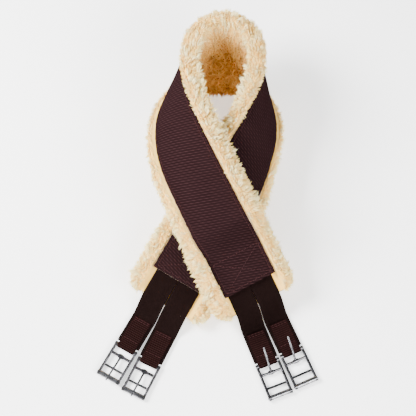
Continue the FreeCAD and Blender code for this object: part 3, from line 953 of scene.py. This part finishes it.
def box_rows(side):
    """Hem row, box and cross at one end of the webbing."""
    hem = side * (panel_half_length - stitch_margin)
    back = side * (panel_half_length - stitch_margin - box_stitch_length)
    edge = half_webbing - stitch_margin
    rows = [panel_row((hem, -edge), (hem, edge)), panel_row((back, -edge), (back, edge))]
    rows += [panel_row((hem, sign * edge), (back, sign * edge)) for sign in (-1, 1)]
    rows += [panel_row((hem, sign * edge), (back, -sign * edge)) for sign in (-1, 1)]
    return rows


# ---- Straps ----

def joint_of(name):
    return next(joint for joint in frame["joints"] if joint["name"] == name)


def strap_place(strap):
    """Middle of the strap bar and the buckle's direction, in millimetres in the part's frame."""
    bar = np.array(joint_of("buckle_hinge_" + strap)["pos_m"]) / MM
    ahead = np.array(joint_of("elastic_stretch_" + strap)["axis"])
    return bar, ahead


def sideways(ahead):
    return np.array([-ahead[1], ahead[0], 0.0])


def hermite(start, start_pull, end, end_pull, t):
    """Points of the curve that leaves start along its pull and reaches end along its own."""
    t = t[:, None]
    settled = t ** 2 * (3 - 2 * t)
    pulled = start_pull * t * (1 - t) ** 2 - end_pull * t ** 2 * (1 - t)
    return start * (1 - settled) + end * settled + pulled


def aimed(out, rimward, goal):
    """Direction in the plane of the webbing's end that heads for a goal as seen from above."""
    aside = (out[0] * goal[1] - out[1] * goal[0]) / (rimward[0] * goal[1] - rimward[1] * goal[0])
    return unit(out - rimward * aside)


def strap_path(strap):
    """Middle line of an elastic strap, with the directions across and up, in the part's frame."""
    side = -1 if strap.startswith("near") else 1
    overhang = near_end_overhang if side < 0 else off_end_overhang
    lane = (strap_width + strap_gap) / 2 * (1 if strap.endswith("inner") else -1)
    origin, out, rimward, up = end_frames[side]
    origin = origin + shift + rimward * lane + up * (filling_top - elastic_thickness / 2 - layer_gap)
    bar, ahead = strap_place(strap)
    hem = bar - ahead * tab_length
    toward = aimed(out, rimward, hem - origin)
    start = origin + toward * overhang
    pull = elastic_free_length - overhang
    inside_steps, over_pile_steps, hanging_steps, tab_steps = 16, 8, 33, 20
    turn = np.linspace(0, 1, hanging_steps)
    hanging = hermite(start, toward * pull, hem, ahead * pull, turn)
    inside = origin + out * np.linspace(-anchor_depth, 0, inside_steps)[:-1, None]
    over_pile = origin + toward * np.linspace(0, overhang, over_pile_steps)[:-1, None]
    inside_tab = hem + ahead * np.linspace(0, tab_length - elastic_end_gap, tab_steps)[1:, None]
    line = np.concatenate([inside, over_pile, hanging, inside_tab])
    tangent = unit(np.gradient(line, axis=0))
    anchored = np.zeros(len(inside) + len(over_pile))
    turned = np.concatenate([anchored, turn, np.ones(len(inside_tab))])[:, None]
    across = rimward * -side * (1 - turned) + sideways(ahead) * turned
    across = unit(across - tangent * (across * tangent).sum(1)[:, None])
    return line, across, np.cross(tangent, across), hem, start


def ribbed_section(width, thickness, ribs, depth):
    """Closed section (side, lift) of a strap whose faces have lengthwise ribs."""
    points_per_rib, edge_share = 4, 0.3
    across = np.linspace(-0.5, 0.5, ribs * points_per_rib + 1)
    crown = thickness / 2 - depth * (1 - np.abs(np.sin(across * ribs * pi)))
    crown[[0, -1]] = edge_share * thickness
    top = np.stack([across * width, crown], 1)
    bottom = top[::-1] * (1, -1)
    return np.concatenate([top, bottom])


def swept_strap(name, distance, line, across, up, side, lift, material):
    """Strap along a line; side places a ring's points across it, and lift (rows, columns) above it."""
    rings = line[:, None] + across * side[None, :, None] + up[:, None] * lift[..., None]
    cloth = np.stack(np.broadcast_arrays(distance[:, None], side[None], lift), -1)
    return sweep(name, rings * MM, material, {"cloth": cloth.reshape(-1, 3)})


def make_elastic(strap, material):
    line, across, up, hem, start = strap_path(strap)
    side, lift = ribbed_section(strap_width, elastic_thickness, elastic_ribs, elastic_rib_depth).T
    piece = swept_strap("elastic_" + strap, lengths_along(line), line, across[:, None], up, side, lift[None],
                        material)
    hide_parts("elastic_strap_" + strap)
    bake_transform(piece)


def tab_path():
    """Middle line (x, z) of the tab about the strap bar, from its upper hem round to its lower one."""
    flat_steps, slope_steps, arc_steps, smoothings = 78, 20, 26, 6
    gap = elastic_thickness / 2 + layer_gap + tab_thickness / 2
    radius = tab_loop_radius + tab_thickness / 2
    base = atan2(gap, -tab_taper)
    swing = np.arccos(radius / np.hypot(tab_taper, gap))
    touch = base - swing
    arc = np.linspace(touch, -touch, arc_steps)
    top = np.stack([np.linspace(-tab_length, -tab_taper, flat_steps), np.full(flat_steps, gap)], 1)
    knee = np.array([-tab_taper, gap])
    contact = radius * np.array([cos(touch), sin(touch)])
    slope = knee + (contact - knee) * np.linspace(0, 1, slope_steps)[1:-1, None]
    upper = np.concatenate([top, slope])
    bend = np.stack([radius * np.cos(arc), radius * np.sin(arc)], 1)
    path = np.concatenate([upper, bend, upper[::-1] * (1, -1)])
    for _ in range(smoothings):
        path[1:-1] = (path[:-2] + 2 * path[1:-1] + path[2:]) / 4
    return path


def make_tab(strap, material):
    """The webbing tab folded round the strap bar, with ribs across its outer face."""
    step, columns, edge_rounding, rounding_power = 0.4, 21, 0.5, 12
    bar, ahead = strap_place(strap)
    left = sideways(ahead)
    path = tab_path()
    distance = lengths_along(path)
    even = np.linspace(0, distance[-1], int(distance[-1] / step))
    x = np.interp(even, distance, path[:, 0])
    z = np.interp(even, distance, path[:, 1])
    line = bar + ahead * x[:, None] + np.array([0.0, 0.0, 1.0]) * z[:, None]
    outward = unit(np.cross(unit(np.gradient(line, axis=0)), left))
    outward = outward * (1.0 if outward[0, 2] > 0 else -1.0)
    across = np.linspace(-0.5, 0.5, columns) * tab_width
    rib = tab_rib_height * (np.abs(np.sin(pi * even / tab_rib_pitch)) - 0.5)
    rounding = 1 - edge_rounding * (np.abs(across) / (tab_width / 2)) ** rounding_power
    top = (tab_thickness / 2 + rib)[:, None] * rounding[None]
    side = np.concatenate([across, across[::-1]])
    lift = np.concatenate([top, -tab_thickness / 2 * rounding[None, ::-1] + 0 * top], 1)
    piece = swept_strap("tab_" + strap, even, line, left, outward, side, lift, material)
    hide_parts("buckle_tab_" + strap)
    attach(piece, "strap_end_" + strap)


def tab_row(bar, ahead, x):
    """A row of stitches across the tab, at a distance x ahead of the strap bar."""
    left = sideways(ahead)
    face = elastic_thickness / 2 + layer_gap + tab_thickness + tab_thread_lift
    length = tab_width - 2 * tab_row_inset

    def place(distance, side, lift):
        return bar + ahead * (x + side) + left * (distance - length / 2) + np.array([0.0, 0.0, face + lift])

    points, cloth = stitch_row(length, place)
    return points * MM, cloth


def make_tab_threads(strap, material):
    """Two rows at the tab's hem and one beside its loop."""
    bar, ahead = strap_place(strap)
    hem = -tab_length + tab_stitch_margin
    places = (hem, hem + tab_row_pitch, -tab_taper - tab_stitch_margin)
    piece = stitch_piece("tab_threads_" + strap, material, [tab_row(bar, ahead, x) for x in places])
    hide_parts("tab_stitching_" + strap)
    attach(piece, "strap_end_" + strap)


# ---- Building ----

def build_panel():
    webbing = make_layer("webbing", webbing_material(), panel_half_length, half_webbing,
                         -webbing_thickness, 0.0, 2.0, dents=True)
    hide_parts("webbing_cover")
    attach(webbing, "root")
    backing = make_layer("backing", backing_material(), panel_half_length, half_webbing + backing_margin,
                         backing_bottom, backing_top, 4.0)
    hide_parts("fleece_backing")
    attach(backing, "root")
    foam = make_layer("foam", foam_material(), core_half_length, half_webbing - core_margin,
                      filling_top - core_thickness, filling_top, 4.0)
    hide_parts("foam_core")
    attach(foam, "root")
    fleece = fleece_material()
    body = make_fleece_body(fleece)
    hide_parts("fleece_lining")
    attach(body, "root")
    return fleece


def build_locks(material):
    for part in range(lock_parts):
        piece = make_locks("fleece_locks_%d" % (part + 1), material, pile_run * part / lock_parts,
                           pile_run * (part + 1) / lock_parts)
        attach(piece, "root")


def build_threads(material):
    end = panel_half_length - stitch_margin - box_stitch_length - edge_stitch_gap
    edge = half_webbing - stitch_margin
    rows = [panel_row((-end, sign * edge), (end, sign * edge)) for sign in (-1, 1)]
    pieces = {"edge_stitching": rows, "box_stitching_near": box_rows(-1), "box_stitching_off": box_rows(1)}
    for node_name, rows in pieces.items():
        piece = stitch_piece(node_name.replace("stitching", "threads"), material, rows)
        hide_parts(node_name)
        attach(piece, "root")


def build_straps(thread):
    elastic = elastic_material()
    tab = tab_material()
    for strap in straps:
        make_elastic(strap, elastic)
        make_tab(strap, tab)
        make_tab_threads(strap, thread)


def finish_buckles():
    steel = steel_material("polished_steel", (0.085, 0.083, 0.088), (0.22, 0.216, 0.226))
    bright = steel_material("bright_steel_tube", (0.16, 0.16, 0.166), (0.34, 0.34, 0.352))
    for name, piece in frame["nodes"].items():
        if name.startswith(("buckle_frame", "buckle_tongue", "buckle_roller")):
            chosen = bright if name.startswith("buckle_roller") else steel
            for slot in piece.material_slots:
                slot.material = chosen


def build_stage():
    half = 4.0
    corners = np.array([(-half, -half, 0), (half, -half, 0), (half, half, 0), (-half, half, 0)])
    material, tree, shader = new_material("pale_floor", 0.75)
    place = node(tree, "ShaderNodeTexCoord").outputs["Object"]
    clouds = noise(tree, place, scale=3.0, detail=2.0)
    shade = ramp(tree, clouds, (0.3, (0.93, 0.93, 0.925)), (0.7, (0.95, 0.95, 0.945)))
    tree.links.new(shade, shader.inputs["Base Color"])
    shader.inputs["Emission Color"].default_value = (1.0, 1.0, 1.0, 1.0)
    shader.inputs["Emission Strength"].default_value = 1.0
    floor = mesh_piece("floor", corners, [np.array([[0, 1, 2, 3]])], material, {})
    floor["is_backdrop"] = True


def area_light(name, place, target, size, power):
    light = bpy.data.lights.new(name, "AREA")
    light.shape = "RECTANGLE"
    light.size, light.size_y = size
    light.energy = power
    lamp = bpy.data.objects.new(name, light)
    lamp.location = place
    lamp.rotation_euler = (Vector(target) - Vector(place)).to_track_quat("-Z", "Y").to_euler()
    bpy.context.collection.objects.link(lamp)


def build_lights():
    world = bpy.data.worlds.new("studio")
    world.use_nodes = True
    tree = world.node_tree
    background = tree.nodes["Background"]
    upward = node(tree, "ShaderNodeSeparateXYZ", Vector=node(tree, "ShaderNodeTexCoord").outputs["Generated"])
    sky = ramp(tree, upward.outputs["Z"], (0.0, (0.55, 0.56, 0.58)), (0.55, (0.80, 0.82, 0.86)),
               (0.78, (0.26, 0.27, 0.29)), (0.88, (0.16, 0.165, 0.18)), (1.0, (0.34, 0.35, 0.38)))
    tree.links.new(sky, background.inputs["Color"])
    background.inputs["Strength"].default_value = 0.75
    bpy.context.scene.world = world
    area_light("key", (-1.15, 0.25, 1.25), (0, 0, 0), size=(0.8, 0.8), power=120.0)
    area_light("fill", (1.1, -0.9, 1.2), (0, 0, 0), size=(1.2, 0.8), power=60.0)
    area_light("front", (0.1, -1.5, 0.7), (0, -0.1, 0), size=(1.0, 0.4), power=26.0)


def build_camera():
    """Looks steeply down from the buckles' side, as over a shop counter."""
    target = Vector(in_part_frame(np.array(camera_target)))
    away = Vector((0, -cos(camera_elevation), sin(camera_elevation)))
    camera = bpy.data.cameras.new("camera")
    camera.angle = camera_angle
    holder = bpy.data.objects.new("camera", camera)
    holder.location = target + away * camera_distance
    holder.rotation_euler = (-away).to_track_quat("-Z", "Y").to_euler()
    bpy.context.collection.objects.link(holder)
    bpy.context.scene.camera = holder


fleece_look = build_panel()
build_locks(fleece_look)
thread_look = thread_material()
build_threads(thread_look)
build_straps(thread_look)
finish_buckles()
build_stage()
build_lights()
build_camera()

visual_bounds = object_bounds()
boxes = {"cad": cad_bounds, "visual": visual_bounds}
lists = {name: [[float(v) for v in corner] for corner in box] for name, box in boxes.items()}
